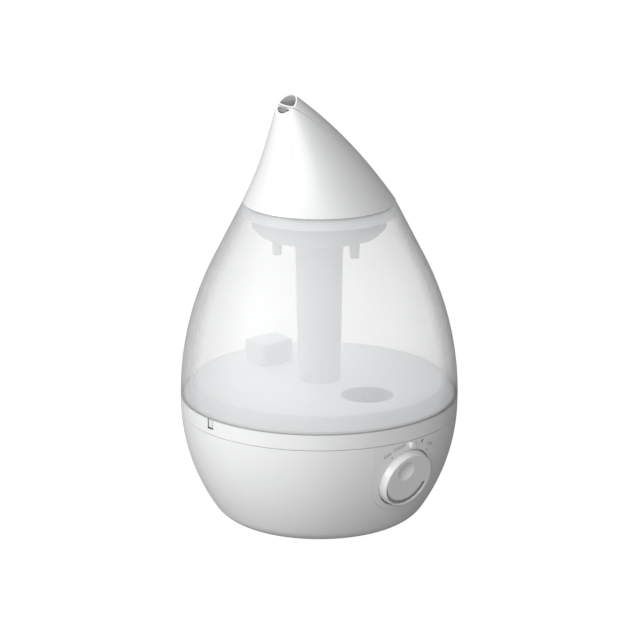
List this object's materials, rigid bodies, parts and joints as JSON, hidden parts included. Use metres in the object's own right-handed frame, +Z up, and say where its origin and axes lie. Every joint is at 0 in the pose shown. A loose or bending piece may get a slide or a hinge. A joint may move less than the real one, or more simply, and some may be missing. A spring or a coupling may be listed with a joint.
{
  "type": "cool mist humidifier",
  "caption": "Drop-shaped ultrasonic cool mist humidifier with bowl base, translucent lift-off water tank, turning lid and turning upper nozzle.",
  "frame": {"origin": "on the table, under the centre of the round base", "axes": "+Z up; the control knob faces -Y; the mist outlets point to -X; the air tower is on the +Y side"},
  "size_m": [0.216, 0.2195, 0.3403],
  "materials": {
    "white_plastic": "satin white moulded ABS",
    "panel_plastic": "satin white moulded ABS inlay",
    "tank_plastic": "translucent frosted tank plastic",
    "basin_plastic": "satin white moulded ABS",
    "black_plastic": "black moulded plastic",
    "rubber": "grey elastomer",
    "silicone": "translucent white silicone",
    "steel": "zinc plated steel",
    "ceramic": "plated piezo ceramic disc",
    "board": "green solder resist",
    "aluminium": "extruded aluminium",
    "foam": "closed cell foam",
    "lens": "clear diffusing lens"
  },
  "bodies": {
    "base": {"base_housing": "white_plastic", "water_basin": "basin_plastic", "control_panel": "panel_plastic", "knob_well": "panel_plastic", "bottom_cover": "basin_plastic", "rubber_feet": "rubber", "cover_screws": "steel", "panel_board": "board", "tact_switch": "black_plastic", "indicator_lamp": "lens", "potentiometer": "black_plastic", "main_board": "board", "board_components": "black_plastic", "board_screws": "steel", "heat_sink": "aluminium", "transducer_disc": "ceramic", "transducer_seal": "silicone", "transducer_retainer": "steel", "retainer_screws": "steel", "fan_frame": "black_plastic", "air_duct": "black_plastic", "power_inlet": "black_plastic", "reed_switch": "black_plastic", "float_clip": "basin_plastic", "light_lens": "lens", "light_board": "board"},
    "knob": {"control_knob": "white_plastic", "knob_shaft": "steel"},
    "button": {"light_button": "white_plastic"},
    "impeller": {"fan_impeller": "black_plastic"},
    "float": {"float_ring": "foam"},
    "tank": {"tank_shell": "tank_plastic", "tank_floor": "basin_plastic", "mist_tube": "basin_plastic", "tank_collar": "basin_plastic", "splash_guard": "basin_plastic", "guard_screws": "steel"},
    "cap": {"tank_cap": "basin_plastic", "cap_gasket": "silicone"},
    "plunger": {"valve_plunger": "basin_plastic", "valve_seal": "silicone", "valve_spring": "steel"},
    "lid_ring": {"lid_seal_ring": "silicone"},
    "lid": {"lid": "white_plastic"},
    "nozzle": {"upper_nozzle": "white_plastic"}
  },
  "joints": [
    {"name": "knob_turn", "type": "hinge", "parent": "base", "child": "knob", "pos_m": [0, -0.10233, 0.056], "axis": [0, 0.9624, 0.2715], "range_deg": [-14, 256]},
    {"name": "button_press", "type": "slide", "parent": "base", "child": "button", "axis": [0, 1, 0], "range_m": [0, 0.0008], "stiffness_N_per_m": 900, "springref_m": -0.0005},
    {"name": "fan_spin", "type": "hinge", "parent": "base", "child": "impeller", "pos_m": [0, 0.03, 0.012], "axis": [0, 0, 1], "continuous": true},
    {"name": "float_rise", "type": "slide", "parent": "base", "child": "float", "axis": [0, 0, 1], "range_m": [0, 0.01]},
    {"name": "tank_lift", "type": "slide", "parent": "base", "child": "tank", "axis": [0, 0, 1], "range_m": [0, 0.15]},
    {"name": "cap_turn", "type": "hinge", "parent": "tank", "child": "cap", "pos_m": [0, -0.057, 0.09], "axis": [0, 0, 1], "range_deg": [-90, 0]},
    {"name": "valve_drop", "type": "slide", "parent": "cap", "child": "plunger", "axis": [0, 0, 1], "range_m": [-0.0037, 0], "deforming": ["valve_spring"]},
    {"name": "lid_lift", "type": "slide", "parent": "tank", "child": "lid_ring", "axis": [0, 0, 1], "range_m": [0, 0.12]},
    {"name": "lid_turn", "type": "hinge", "parent": "lid_ring", "child": "lid", "pos_m": [0, 0, 0.254], "axis": [0, 0, 1], "continuous": true},
    {"name": "nozzle_turn", "type": "hinge", "parent": "lid", "child": "nozzle", "pos_m": [0, 0, 0.29], "axis": [0, 0, 1], "continuous": true}
  ],
  "couplings": [
    {"joint": "valve_drop", "follows": "tank_lift", "ratio": -0.024667}
  ]
}
